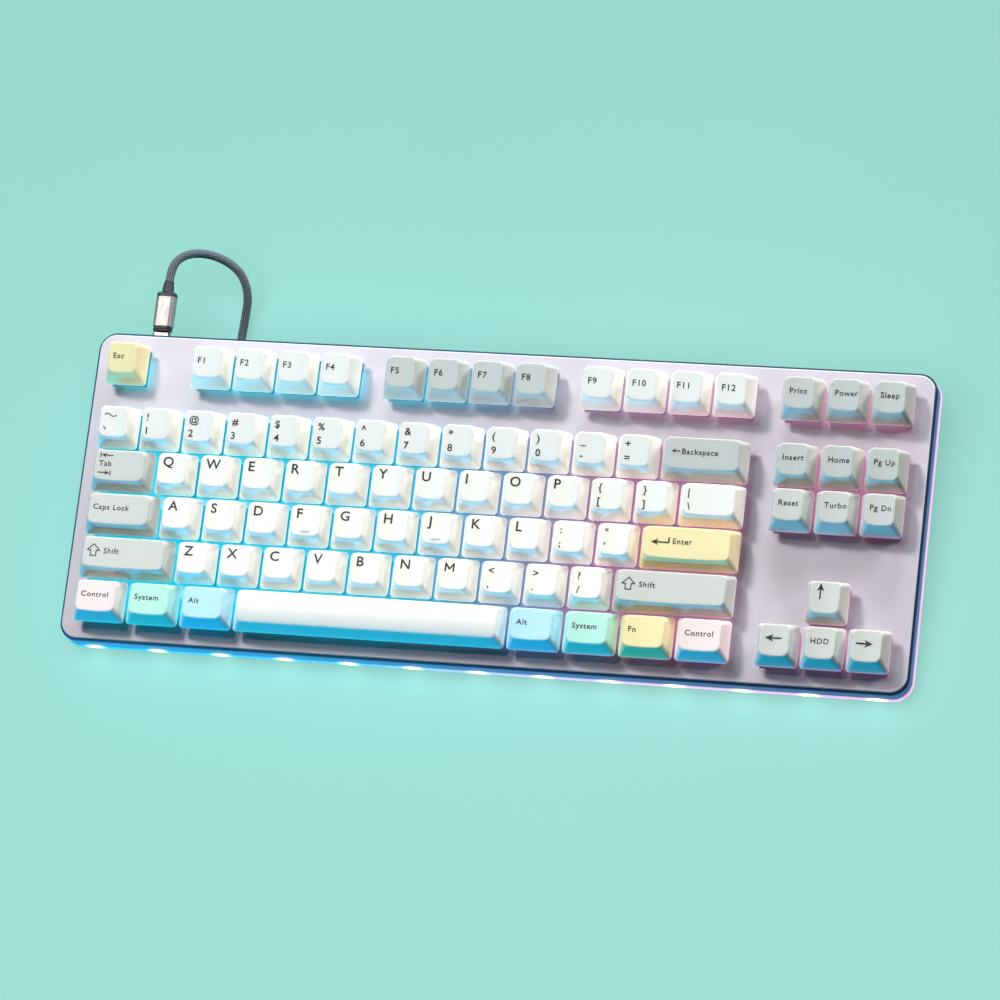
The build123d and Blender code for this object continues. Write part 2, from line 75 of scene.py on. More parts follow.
# Boxes of a slider under its cross: half width, half depth, foot and top.
SLIDER_TOP = 6.4
SWITCH_SLIDER = ((3.3, 3.0, 0.6, SLIDER_TOP), (4.6, 2.0, 0.6, 5.0))
STAB_SLIDER = ((2.1, 2.5, 0.4, SLIDER_TOP),)

# ---- looks ----
EDGE_ROUND, EDGE_STEPS = 0.5, 3  # rounding between a cap's walls and its top
LIP_INSET = 0.22  # flat edge under a cap's walls
ARC, UNIT_STEPS = 3, 5  # steps in half a corner, and on a straight side of one unit
LEGEND_LIFT, LEGEND_SUNK = 0.06, 0.12
# Light along the keyboard, from its left end to its right end: what the LEDs give, what shines
# through a cap's lip and through its front and back walls, painted on the cap as glow, and what is
# painted on the plate as glow.
LED_STOPS = [
    (0.0, (0.0, 0.62, 0.80)), (0.38, (0.03, 0.50, 0.75)), (0.55, (0.25, 0.33, 0.55)),
    (0.75, (0.42, 0.16, 0.32)), (1.0, (0.42, 0.15, 0.28)),
]
RIM_STOPS = [
    (0.0, (0.02, 0.34, 0.44)), (0.38, (0.03, 0.30, 0.42)), (0.55, (0.16, 0.20, 0.30)),
    (0.75, (0.40, 0.12, 0.23)), (1.0, (0.42, 0.12, 0.24)),
]
FRONT_STOPS = [
    (0.0, (0.0, 0.05, 0.07)), (0.3, (0.0, 0.05, 0.07)), (0.55, (0.05, 0.05, 0.07)),
    (0.75, (0.07, 0.04, 0.05)), (1.0, (0.07, 0.03, 0.05)),
]
PLATE_GLOW_STOPS = [
    (0.0, (0.0, 0.44, 0.58)), (0.38, (0.0, 0.36, 0.52)), (0.5, (0.04, 0.16, 0.28)),
    (0.62, (0.20, 0.08, 0.15)), (1.0, (0.28, 0.09, 0.17)),
]
# Rings of a cap's walls, from the lip up: height, share of the lip's painted light and of the
# walls' painted light.
WALL_LIGHT = ((0.22, 0.9, 1.0), (0.6, 0.35, 1.1), (1.5, 0.06, 1.2), (3.6, 0.0, 1.0))
LIP_LIGHT, SHOULDER_LIGHT = (0.9, 1.0), (0.0, 0.5)
SIDE_PAINTED_LIGHT = (0.075, 0.065, 0.065)  # painted light on the side walls, for the light from the next caps
GREY_SIDES = 0.3  # share of it on grey caps
# How much light is painted on the front and back walls, for what they let through, by row, by key
# and by colour.
ROW_PAINTED_GLOW = {0: 2.6, 5: 0.0}
KEY_PAINTED_GLOW = {"f5": 0.8, "f6": 0.8, "f7": 0.5, "f8": 0.25}
CAP_PAINTED_GLOW = {"cap_white": 1.0, "cap_grey": 0.0, "cap_yellow": 0.3, "cap_pink": 0.5,
                 "cap_mint": 0.3, "cap_blue": 0.3}
# Fields of keys with the LEDs' light painted on the plate under them: left and right ends in units,
# first and last row.
LIT_FIELDS = ((0, 1, 0, 0), (2, 6, 0, 0), (6.5, 10.5, 0, 0), (11, 15, 0, 0), (15.5, 18.5, 0, 0),
              (0, 15, 1, 5), (15.5, 18.5, 1, 2), (16.5, 17.5, 4, 4), (15.5, 18.5, 5, 5))
GLOW_BACK = 2.5  # how far the light leans to the back under the lower fields,
GLOW_FRONT = 2.0  # to the front under the function row,
GLOW_RIGHT, LEANING_RIGHT = 3.5, 6  # and to the right in that row, as far as this unit
GLOW_IN, GLOW_OUT = 5.0, 2.0  # where it starts to fade inside a field and ends outside it
RING_STOPS = [
    (0.0, (0.0, 0.55, 0.95)), (0.35, (0.10, 0.62, 1.0)), (0.52, (0.62, 0.66, 1.0)),
    (0.70, (1.0, 0.62, 0.90)), (1.0, (1.0, 0.55, 0.85)),
]
HOT_SPOT_PITCH = 28.2  # between the bright spots of the ring
FRAME_DEPTH = 8.5  # height of the frame's walls
FLAT = 0.9  # how squarely a face has to look up to count as the plate
# Colour of the frame's walls by height, from the foot to the plate: their own dark tone, with a
# painted reflection in it, blue low down and a slate band higher up.
WALL_TONE_AND_REFLECTION = [
    (0.0, (0.004, 0.010, 0.035)), (0.12, (0.006, 0.05, 0.16)), (0.45, (0.006, 0.060, 0.20)),
    (0.55, (0.090, 0.095, 0.110)), (0.80, (0.090, 0.095, 0.110)), (0.84, (0.018, 0.026, 0.045)),
    (1.0, (0.008, 0.014, 0.030)),
]
# Light of the ring painted on the frame's walls as glow: along the keyboard, and how much of it at
# each height.
WALL_GLOW_STOPS = [
    (0.0, (0.0, 0.36, 0.82)), (0.35, (0.0, 0.27, 0.66)), (0.55, (0.01, 0.15, 0.46)),
    (0.8, (0.01, 0.09, 0.32)), (1.0, (0.01, 0.08, 0.28)),
]
WALL_GLOW_HEIGHTS = [
    (0.0, (1.0,) * 3), (0.12, (0.9,) * 3), (0.42, (0.8,) * 3), (0.70, (0.45,) * 3),
    (0.84, (0.20,) * 3), (1.0, (0.06,) * 3),
]
FRONT_GLOW, FRONT_GLOW_FADE = 0.6, (0.96, 0.84)  # its least share on the front wall, by height
BRIGHT_EDGE = 0.35  # height of the bright cut line round the plate


def plate_matrix():
    """From the case's flat frame, in millimetres, to the row frame, in metres."""
    up = -Vector(frame["joints"][0]["axis"])
    across = Vector((1, 0, 0))
    back = up.cross(across)
    points = [vertex.co for vertex in frame["nodes"]["top_frame"].data.vertices]

    def span(axis):
        values = [point.dot(axis) for point in points]
        return min(values), max(values)

    origin = across * sum(span(across)) / 2 + back * sum(span(back)) / 2 + up * span(up)[1]
    matrix = Matrix((across, back, up)).transposed().to_4x4()
    matrix.translation = origin
    return matrix @ Matrix.Scale(MM, 4)


PLATE = plate_matrix()
PLATE_UP = (PLATE.to_3x3() @ Vector((0, 0, 1))).normalized()
PLATE_BACK = (PLATE.to_3x3() @ Vector((0, 1, 0))).normalized()


# ---- meshes ----
class Solid:
    """Points, faces, material numbers and glow of one mesh, lofted from closed rings of points."""

    def __init__(self):
        self.points = []
        self.faces = []
        self.kinds = []
        self.glow = {}

    def ring(self, points):
        first = len(self.points)
        self.points += [tuple(point) for point in points]
        return list(range(first, len(self.points)))

    def face(self, corners, kind=0):
        self.faces.append(tuple(corners))
        self.kinds.append(kind)

    def bridge(self, low, high, kind=0):
        count = len(low)
        for i in range(count):
            j = (i + 1) % count
            self.face((low[i], low[j], high[j], high[i]), kind)

    def loft(self, rings, kind=0, closed=True):
        """Walls through the rings, from the lowest to the highest, with a lid on each end."""
        made = [self.ring(points) for points in rings]
        for low, high in zip(made, made[1:]):
            self.bridge(low, high, kind)
        if closed:
            self.face(reversed(made[0]), kind)
            self.face(made[-1], kind)
        return made


def finish_mesh(name, solid, materials, matrix=PLATE, sharp=32.0):
    """A mesh object in the row frame, smooth but for its sharp edges, with even shading."""
    mesh = bpy.data.meshes.new(name)
    mesh.from_pydata([matrix @ Vector(point) for point in solid.points], [], solid.faces)
    for material in materials:
        mesh.materials.append(material)
    mesh.polygons.foreach_set("material_index", solid.kinds)
    mesh.shade_smooth()
    mesh.set_sharp_from_angle(angle=radians(sharp))
    if solid.glow:
        attribute = mesh.color_attributes.new("glow", "FLOAT_COLOR", "POINT")
        for i, point in enumerate(attribute.data):
            point.color = (*solid.glow.get(i, (0.0, 0.0, 0.0)), 1.0)
    mesh.update()
    thing = bpy.data.objects.new(name, mesh)
    bpy.context.scene.collection.objects.link(thing)
    even = thing.modifiers.new("even_normals", "WEIGHTED_NORMAL")
    even.keep_sharp = True
    return thing


def ramp_colour(stops, share):
    """The colour that a row of (position, colour) stops has at a share of its length."""
    for (p0, c0), (p1, c1) in zip(stops, stops[1:]):
        if share <= p1:
            t = max(0.0, (share - p0) / (p1 - p0))
            return tuple(a + (b - a) * t for a, b in zip(c0, c1))
    return stops[-1][1]


def direction(angle):
    return Vector((cos(angle), sin(angle)))


def outline(half_w, half_d, radius, middle_y, steps):
    """A rounded rectangle from the middle of its front left corner round by the right, as points
    and the outward direction at each of them. steps is the number of steps of a straight side."""
    signs = ((-1, -1), (1, -1), (1, 1), (-1, 1))
    centres = [Vector((x * (half_w - radius), y * (half_d - radius))) for x, y in signs]
    points, outward = [], []
    for side in range(4):
        start, end = centres[side], centres[(side + 1) % 4]
        first = radians(225 + 90 * side)
        eighth = radians(45)
        normals = [direction(first + eighth * i / ARC) for i in range(ARC)]
        points += [start + radius * normal for normal in normals]
        straight = direction(first + eighth)
        count = steps[side % 2]
        points += [start.lerp(end, i / count) + radius * straight for i in range(count)]
        normals += [straight] * count
        last = [direction(first + eighth + eighth * i / ARC) for i in range(ARC)]
        points += [end + radius * normal for normal in last]
        outward += normals + last
    return [Vector((point.x, point.y + middle_y)) for point in points], outward


# ---- keys ----
# Keys that share a node, most of which is named after all of its keys.
GROUPS = ("2 w s x", "3 e d c", "4 r f v", "5 t g b", "6 y h n", "7 u j m", "8 i k comma",
          "9 o l period", "0 p semicolon slash", "print power sleep", "insert home pgup",
          "reset turbo pgdn")
KEY_GROUPS = {"keys_" + names.replace(" ", "_"): names for names in GROUPS} | {
    "keys_1_q_a_z": "grave 1 q a z",
    "keys_minus_bracket_quote": "minus bracket_left quote",
    "keys_equal_bracket": "equal bracket_right",
    "keys_f1_to_f4": "f1 f2 f3 f4",
    "keys_f5_to_f8": "f5 f6 f7 f8",
    "keys_f9_to_f12": "f9 f10 f11 f12",
}
COLOURED = {
    "cap_grey": "f5 f6 f7 f8 tab caps_lock left_shift right_shift backspace print power sleep"
                " insert home pgup reset turbo pgdn up left down right",
    "cap_yellow": "esc enter fn",
    "cap_pink": "left_control right_control",
    "cap_mint": "left_system right_system",
    "cap_blue": "left_alt right_alt",
}
# Legends: two signs one above the other, and words.
PAIRS = {digit: shifted + digit for shifted, digit in zip("!@#$%^&*()", "1234567890")} | {
    "minus": "_-", "equal": "+=", "bracket_left": "{[", "bracket_right": "}]",
    "backslash": "|\\", "semicolon": ":;", "quote": "\"'", "comma": "<,", "period": ">.",
    "slash": "?/",
}
NAMED = "esc print power sleep insert home reset turbo fn left_alt right_alt" \
        " left_control right_control left_system right_system"
WORDS = {name: name.split("_")[-1].capitalize() for name in NAMED.split()} | {
    "pgup": "Pg Up", "pgdn": "Pg Dn", "caps_lock": "Caps Lock", "down": "HDD",
}


class Key:
    def __init__(self, name, row, left, width):
        self.name, self.row, self.width = name, row, width
        self.x = (left + width / 2) * UNIT - FIELD_W / 2
        self.y = ROW_Y[row]
        self.base_w, self.base_d = width * UNIT - KEY_GAP, UNIT - KEY_GAP
        self.top_w = self.base_w - CAP_TOP_NARROWER
        self.convex = name == "space"
        colours = [colour for colour, names in COLOURED.items() if name in names.split()]
        self.colour = colours[0] if colours else "cap_white"
        reach = SPACE_REACH if self.convex else STAB_REACH
        self.posts = (0,) if width < 2 else (-reach, 0, reach)

    def surface(self, x, y):
        """Height above the plate of the cap's dished or crowned top."""
        front, back = CAP_RISE[self.row]
        y -= sum(CAP_TOP_Y) / 2
        z = CAP_Z + (front + back) / 2 + y * (back - front) / (CAP_TOP_Y[1] - CAP_TOP_Y[0])
        if self.convex:
            return z - SPACE_CROWN_R + sqrt(SPACE_CROWN_R ** 2 - y ** 2)
        dish_w = self.top_w - DISH_NARROWER
        radius = (dish_w ** 2 / 4 + DISH ** 2) / (2 * DISH)
        return z - max(0.0, sqrt(radius ** 2 - x ** 2) - (radius - DISH))


# Keys side by side: their row, where the first begins, in units, and their names.
ROWS = (
    (0, 0.0, "esc"), (0, 2.0, "f1 f2 f3 f4"), (0, 6.5, "f5 f6 f7 f8"), (0, 11.0, "f9 f10 f11 f12"),
    (0, 15.5, "print power sleep"), (1, 15.5, "insert home pgup"), (2, 15.5, "reset turbo pgdn"),
    (1, 0.0, "grave 1 2 3 4 5 6 7 8 9 0 minus equal backspace"),
    (2, 0.0, "tab q w e r t y u i o p bracket_left bracket_right backslash"),
    (3, 0.0, "caps_lock a s d f g h j k l semicolon quote enter"),
    (4, 0.0, "left_shift z x c v b n m comma period slash right_shift"), (4, 16.5, "up"),
    (5, 0.0, "left_control left_system left_alt space right_alt right_system fn right_control"),
    (5, 15.5, "left down right"),
)
# Widths in units of the keys that are wider than one.
WIDTHS = {"tab": 1.5, "backslash": 1.5, "caps_lock": 1.75, "backspace": 2.0, "enter": 2.25,
          "left_shift": 2.25, "right_shift": 2.75, "space": 6.25, "fn": 1.25}
WIDTHS |= {f"{side}_{name}": 1.25 for side in ("left", "right")
           for name in ("control", "system", "alt")}


def key_list():
    keys = []
    for row, left, names in ROWS:
        for name in names.split():
            keys.append(Key(name, row, left, WIDTHS.get(name, 1.0)))
            left += keys[-1].width
    return keys


def cap_walls(solid, key, kind):
    """The cap's hollow shell: lip, walls, rounded shoulder, dished top, inner walls and ceiling."""
    steps = (UNIT_STEPS * ceil(key.width), UNIT_STEPS)
    top_mid = sum(CAP_TOP_Y) / 2
    half_top_d = (CAP_TOP_Y[1] - CAP_TOP_Y[0]) / 2
    base, out = outline(key.base_w / 2, key.base_d / 2, CAP_R, 0, steps)
    top, _ = outline(key.top_w / 2, half_top_d, CAP_TOP_R, top_mid, steps)
    middle = CAP_Z + sum(CAP_RISE[key.row]) / 2
    slope = (CAP_RISE[key.row][1] - CAP_RISE[key.row][0]) / (2 * half_top_d)
    shoulder = []
    for b, t in zip(base, top):
        top_z = middle + slope * (t.y - top_mid)
        share = 1.0
        for _ in range(4):  # each round comes closer to where the wall meets the surface
            at = b.lerp(t, share)
            share = (key.surface(at.x, at.y) - CAP_Z) / (top_z - CAP_Z)
        at = b.lerp(t, share)
        shoulder.append(Vector((at.x, at.y, key.surface(at.x, at.y))))
    low = [Vector((b.x, b.y, CAP_Z)) for b in base]

    def wall(height):
        return [b.lerp(s, height / (s.z - CAP_Z)) for b, s in zip(low, shoulder)]

    rings = [[(*(b - n * LIP_INSET), CAP_Z) for b, n in zip(base, out)]]
    glow = [LIP_LIGHT]
    for height, rim, through in WALL_LIGHT:
        rings.append(wall(height))
        glow.append((rim, through))
    for i in range(EDGE_STEPS + 1):
        t = i / EDGE_STEPS
        ring = []
        for s, b, n in zip(shoulder, low, out):
            start = s + (b - s).normalized() * EDGE_ROUND
            inner = s.xy - n * EDGE_ROUND
            end = Vector((*inner, key.surface(*inner)))
            ring.append(start * (1 - t) ** 2 + 2 * t * (1 - t) * s + end * t ** 2)
        rings.append(ring)
        glow.append(SHOULDER_LIGHT if i == 0 else (0.0, 0.0))
    made = solid.loft(rings, kind, closed=False)
    # Painted light: the glow of the lip, the front and back walls and the side walls, kept on each
    # point.
    share = 0.5 + key.x / FIELD_W
    rim_glow_colour, front_glow_colour = ramp_colour(RIM_STOPS, share), ramp_colour(FRONT_STOPS, share)
    # clear: the share of painted glow on the front and back walls
    clear = KEY_PAINTED_GLOW.get(key.name, CAP_PAINTED_GLOW[key.colour])
    front_glow_share = clear * ROW_PAINTED_GLOW.get(key.row, 1.0)
    side_glow_share = GREY_SIDES if key.colour == "cap_grey" else 1.0
    for indexes, (rim, through) in zip(made, glow):
        for i, n in zip(indexes, out):
            facing = abs(n.y)
            front, side = through * facing * front_glow_share, through * (1 - facing) * side_glow_share
            solid.glow[i] = tuple(rim * r + front * f + side * s
                                  for r, f, s in zip(rim_glow_colour, front_glow_colour, SIDE_PAINTED_LIGHT))
    cap_top(solid, key, made[-1], steps, kind)

    ceiling = middle - (SPACE_TOP_WALL if key.convex else DISH + CAP_TOP_WALL)
    rise = (ceiling - CAP_Z) / (middle - CAP_Z)
    front = -key.base_d / 2 + rise * (CAP_TOP_Y[0] + key.base_d / 2) + CAP_WALL
    back = key.base_d / 2 + rise * (CAP_TOP_Y[1] - key.base_d / 2) - CAP_WALL
    half_w = key.base_w / 2 - CAP_WALL
    half_in = half_w - rise * CAP_TOP_NARROWER / 2
    mouth, _ = outline(half_w, key.base_d / 2 - CAP_WALL, CAP_INNER_R, 0, steps)
    roof, _ = outline(half_in, (back - front) / 2, CAP_INNER_R, (front + back) / 2, steps)
    mouth_ring = solid.ring([(*p, CAP_Z) for p in mouth])
    roof_ring = solid.ring([(*p, ceiling) for p in roof])
    solid.bridge(mouth_ring, made[0], kind)
    solid.bridge(roof_ring, mouth_ring, kind)
    solid.face(reversed(roof_ring), kind)
    return ceiling


def cap_top(solid, key, rim, steps, kind):
    """A patch of quads between the four sides of the rim, lying on the cap's surface."""
    across, deep = 2 * ARC + steps[0], 2 * ARC + steps[1]
    rim = rim + rim[:1]
    front, right = rim[:across + 1], rim[across:across + deep + 1]
    back, left = rim[across + deep:2 * across + deep + 1][::-1], rim[2 * across + deep:][::-1]

    def at(index):
        return Vector(solid.points[index]).xy

    rows = [front]
    for j in range(1, deep):
        v = j / deep
        row = []
        for i in range(1, across):
            u = i / across
            sides = (1 - v) * at(front[i]) + v * at(back[i])
            sides += (1 - u) * at(left[j]) + u * at(right[j])
            ends = (1 - v) * at(front[0]).lerp(at(front[-1]), u)
            x, y = sides - (ends + v * at(back[0]).lerp(at(back[-1]), u))
            row += solid.ring([(x, y, key.surface(x, y))])
        rows.append([left[j], *row, right[j]])
    rows.append(back)
    for low, high in zip(rows, rows[1:]):
        for i in range(across):
            solid.face((low[i], low[i + 1], high[i + 1], high[i]), kind)


def box_rings(half_w, half_d, foot, top, cut, x):
    """Rings of a bar with its middle at x and all its edges cut."""
    rings = []
    for z, inset in ((foot, cut), (foot + cut, 0), (top - cut, 0), (top, cut)):
        w, d = half_w - inset, half_d - inset
        corners = ((-w, -d + cut), (-w + cut, -d), (w - cut, -d), (w, -d + cut), (w, d - cut),
                   (w - cut, d), (-w + cut, d), (-w, d - cut))
        rings.append([(x + a, b, z) for a, b in corners])
    return rings


def circle(radius, z, x):
    turns = [2 * pi * i / POST_SIDES for i in range(POST_SIDES)]
    return [(x + radius * cos(turn), radius * sin(turn), z) for turn in turns]


def cap_inside(solid, key, ceiling, cap, stem):
    """The posts under the cap and the stems that carry it."""
    step_z = CAP_POST_Z + POST_STEP
    half_w, half_t = CROSS_W / 2, CROSS_T / 2
    for x in key.posts:
        solid.loft([circle(CAP_POST_R, z, x) for z in (step_z, ceiling + POST_STEP)], cap)
        solid.loft([circle(POST_FOOT_R, z, x) for z in (CAP_POST_Z, step_z)], cap)
        for half_x, half_y in ((half_w, half_t), (half_t, half_w)):
            solid.loft(box_rings(half_x, half_y, SLIDER_TOP, CROSS_Z, CROSS_CUT, x), stem)
        for box in STAB_SLIDER if x else SWITCH_SLIDER:
            solid.loft(box_rings(*box, SLIDER_CUT, x), stem)


def homing_bar(solid, key, kind):
    """The short raised bar that fingers find on the F and J keys."""
    half_l, half_w, height, sunk, cut, y = 2.0, 0.35, 0.45, 0.3, 0.15, CAP_TOP_Y[0] + 2.2
    rings = []
    for inset, z in ((0.0, -sunk), (0.0, height - cut), (cut, height)):
        ring = []
        for side in (1, -1):
            for i in range(7):
                at = direction(radians(-90 + 30 * i)) * side
                reach = half_w - inset
                ring.append((side * (half_l - half_w) + at.x * reach, y + at.y * reach,
                             key.surface(0, y) + z))
        rings.append(ring)
    solid.loft(rings, kind)


def add_moved(target, source, x, y):
    first = len(target.points)
    target.points += [(px + x, py + y, pz) for px, py, pz in source.points]
    target.faces += [tuple(first + i for i in face) for face in source.faces]
    target.kinds += source.kinds
    target.glow.update({first + i: colour for i, colour in source.glow.items()})


# ---- legends ----
# (size, thickening) of each kind of text.
LETTER, SYMBOL, SHORT, WORD = (5.9, 0.09), (4.3, 0.07), (3.7, 0.05), (3.3, 0.045)
# Feet of the texts on a cap.
LETTER_Y, HIGH_Y, LOW_Y, SHORT_Y, WORD_Y = 2.0, 2.2, -3.7, 0.3, 0.6
LEGEND_MARGIN = 1.9  # from a top's left edge to its legend
TEXT_SPACING = 1.14
STROKE, FINE_STROKE = 0.6, 0.42  # widths of drawn lines
HEAD_SWEEP, HEAD_HALF = 0.72, 0.46  # an arrow head's notch and half width
# The letter M is drawn with strokes.
M_SHAPE = ((0.4, 2.35), (0.4, 5.55), (2.1, 3.2), (3.8, 5.55), (3.8, 2.35))
M_STROKE = 0.68
FLAT_HALF = 0.1  # half a flat shape's thickness
TEXTS = {}


def curve_shape(curve):
    """The points and faces of a curve's mesh. The curve itself is thrown away."""
    thing = bpy.data.objects.new(curve.name, curve)
    bpy.context.scene.collection.objects.link(thing)
    evaluated = thing.evaluated_get(bpy.context.evaluated_depsgraph_get())
    mesh = bpy.data.meshes.new_from_object(evaluated)
    made = [v.co.copy() for v in mesh.vertices], [tuple(p.vertices) for p in mesh.polygons]
    bpy.data.objects.remove(thing)
    bpy.data.curves.remove(curve)
    bpy.data.meshes.remove(mesh)
    return made


def text_shape(text, kind):
    """A text's flat closed mesh as (points, faces), with its left edge and its foot at 0."""
    if (text, kind) in TEXTS:
        return TEXTS[text, kind]
    curve = bpy.data.curves.new("legend_text", "FONT")
    curve.body = text
    curve.size, curve.offset = kind
    curve.extrude = FLAT_HALF
    curve.resolution_u = 3
    curve.space_character = TEXT_SPACING
    points, faces = curve_shape(curve)
    left = min(point.x for point in points)
    TEXTS[text, kind] = [(x - left, y, z) for x, y, z in points], faces
    return TEXTS[text, kind]


def flat_shape(outline_points):
    """A flat closed prism with this outline, as (points, faces)."""
    count = len(outline_points)
    points = [(p.x, p.y, z) for z in (-FLAT_HALF, FLAT_HALF) for p in outline_points]
    faces = [tuple(reversed(range(count))), tuple(range(count, 2 * count))]
    faces += [(i, (i + 1) % count, (i + 1) % count + count, i + count) for i in range(count)]
    return points, faces


def stroke_shape(a, b, width):
    """A round-ended straight stroke."""
    along = (b - a).normalized()
    start = Vector((-along.y, along.x)) * width / 2
    ring = []
    for centre, turn in ((a, 0), (b, pi)):
        ring += [centre + Matrix.Rotation(turn + pi * i / 6, 2) @ start for i in range(7)]
    return flat_shape(ring)


def path_shapes(points, width, closed=False):
    ends = points[1:] + points[:1] if closed else points[1:]
    return [stroke_shape(a, b, width) for a, b in zip(points, ends)]


def arrow_shapes(tail, along, length, head, width=STROKE):
    """A shaft and a solid swept-back head."""
    side = Vector((-along.y, along.x))
    tip = tail + along * length
    wings = [tip - along * head + side * head * HEAD_HALF * turn for turn in (1, -1)]
    notch = tip - along * head * HEAD_SWEEP
    return [stroke_shape(tail, notch, width), flat_shape([tip, wings[0], notch, wings[1]])]


def shift_arrow_points(x, y, size):
    """The hollow arrow of the shift keys."""
    shape = ((0, 1.0), (1.0, 0.0), (0.45, 0.0), (0.45, -0.9), (-0.45, -0.9), (-0.45, 0.0),
             (-1.0, 0.0))
    return [Vector((x + a * size, y + b * size)) for a, b in shape]


def wave_points(x, y, length, height):
    """The swung line of the tilde."""
    return [Vector((x + length * i / 12, y + height * sin(2 * pi * i / 12))) for i in range(13)]


LEFT_WAY, RIGHT_WAY, UP_WAY = Vector((-1, 0)), Vector((1, 0)), Vector((0, 1))
# Tail of each arrow key's arrow, from the legend's left edge, and its way.
ARROW_KEYS = {
    "left": (6.8, 1.9, LEFT_WAY), "right": (0.0, 1.9, RIGHT_WAY), "up": (2.0, 0.4, UP_WAY),
}


def legend_shapes(key):
    """Each shape of a key's legend as (points, faces, x, y), from the cap's middle."""
    left = -key.top_w / 2 + LEGEND_MARGIN
    name = key.name
    shapes = []

    def text(body, kind, x, y):
        shapes.append((*text_shape(body, kind), x, y))

    def drawn(made):
        shapes.extend((points, faces, 0, 0) for points, faces in made)

    if name == "m":
        drawn(path_shapes([Vector((left + x, y)) for x, y in M_SHAPE], M_STROKE))
    elif len(name) == 1 and name.isalpha():
        text(name.upper(), LETTER, left, LETTER_Y)
    elif name == "grave":
        drawn(path_shapes(wave_points(left, HIGH_Y + 1.6, 5.0, 0.6), FINE_STROKE))
        drawn([stroke_shape(Vector((left, -1.4)), Vector((left + 0.9, -2.7)), FINE_STROKE)])
    elif name in PAIRS:
        text(PAIRS[name][0], SYMBOL, left, HIGH_Y)
        text(PAIRS[name][1], SYMBOL, left, LOW_Y)
    elif name[0] == "f" and name[1:].isdigit():
        text(name.upper(), SHORT, left, SHORT_Y)
    elif name in WORDS:
        text(WORDS[name], WORD, left, WORD_Y)
    elif name == "backspace":
        drawn(arrow_shapes(Vector((left + 4.2, 1.7)), LEFT_WAY, 3.4, 1.9, FINE_STROKE))
        text("Backspace", WORD, left + 5.2, WORD_Y)
    elif name == "tab":
        text("Tab", WORD, left, WORD_Y)
        drawn(arrow_shapes(Vector((left + 5.7, 5.3)), LEFT_WAY, 5.0, 2.2, FINE_STROKE))
        drawn([stroke_shape(Vector((left + 0.4, 6.2)), Vector((left + 0.4, 4.4)), FINE_STROKE)])
        drawn(arrow_shapes(Vector((left, -2.4)), RIGHT_WAY, 5.0, 2.2, FINE_STROKE))
        drawn([stroke_shape(Vector((left + 5.3, -1.5)), Vector((left + 5.3, -3.3)), FINE_STROKE)])
    elif name == "enter":
        corner = Vector((left + 8.2, 1.0))
        drawn(arrow_shapes(corner, LEFT_WAY, 7.4, 3.0))
        drawn([stroke_shape(corner, corner + UP_WAY * 1.9, STROKE)])
        text("Enter", WORD, left + 9.9, WORD_Y)
    elif name in ("left_shift", "right_shift"):
        points = shift_arrow_points(left + 2.7, 1.7, 2.7)
        drawn(path_shapes(points, FINE_STROKE, closed=True))
        text("Shift", WORD, left + 7.2, WORD_Y)
    elif name in ARROW_KEYS:
        x, y, way = ARROW_KEYS[name]
        drawn(arrow_shapes(Vector((left + x, y)), way, 6.6, 3.4))
    return shapes


def add_legend(solid, key):
    for points, faces, x, y in legend_shapes(key):
        first = len(solid.points)
        for px, py, pz in points:
            at = (x + px, y + py)
            lift = LEGEND_LIFT if pz > 0 else -LEGEND_SUNK
            solid.points.append((key.x + at[0], key.y + at[1], key.surface(*at) + lift))
        solid.faces += [tuple(first + i for i in face) for face in faces]
        solid.kinds += [0] * len(faces)


